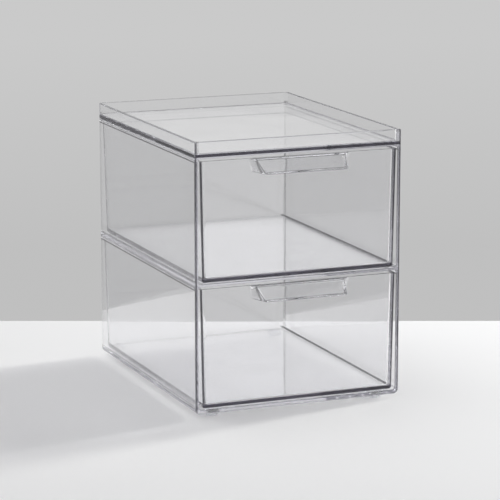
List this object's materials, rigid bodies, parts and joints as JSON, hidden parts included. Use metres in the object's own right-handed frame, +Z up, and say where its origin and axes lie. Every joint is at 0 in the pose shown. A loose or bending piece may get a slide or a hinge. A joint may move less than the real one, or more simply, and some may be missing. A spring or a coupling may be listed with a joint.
{
  "type": "stackable drawer box",
  "caption": "Clear plastic drawer box: a one-piece open-fronted case with a shelf, a raised stacking rim and soft feet, holding open-topped drawers with hooded pulls that slide out in front.",
  "frame": {"origin": "on the ground under the feet, at the middle of the outline seen from above, pulls included", "axes": "+Z up, +X to the right seen from the front, -Y to the front, where the drawers come out"},
  "size_m": [0.17, 0.237, 0.2129],
  "materials": {
    "case_plastic": "polished clear",
    "drawer_plastic": "polished clear",
    "foot_rubber": "clear soft"
  },
  "bodies": {
    "case": {"case": "case_plastic", "foot_front_left": "foot_rubber", "foot_front_right": "foot_rubber", "foot_rear_left": "foot_rubber", "foot_rear_right": "foot_rubber"},
    "upper_drawer": {"upper_drawer": "drawer_plastic"},
    "lower_drawer": {"lower_drawer": "drawer_plastic"}
  },
  "joints": [
    {"name": "upper_drawer_slide", "type": "slide", "parent": "case", "child": "upper_drawer", "axis": [0, -1, 0], "range_m": [0, 0.15]},
    {"name": "lower_drawer_slide", "type": "slide", "parent": "case", "child": "lower_drawer", "axis": [0, -1, 0], "range_m": [0, 0.15]}
  ]
}
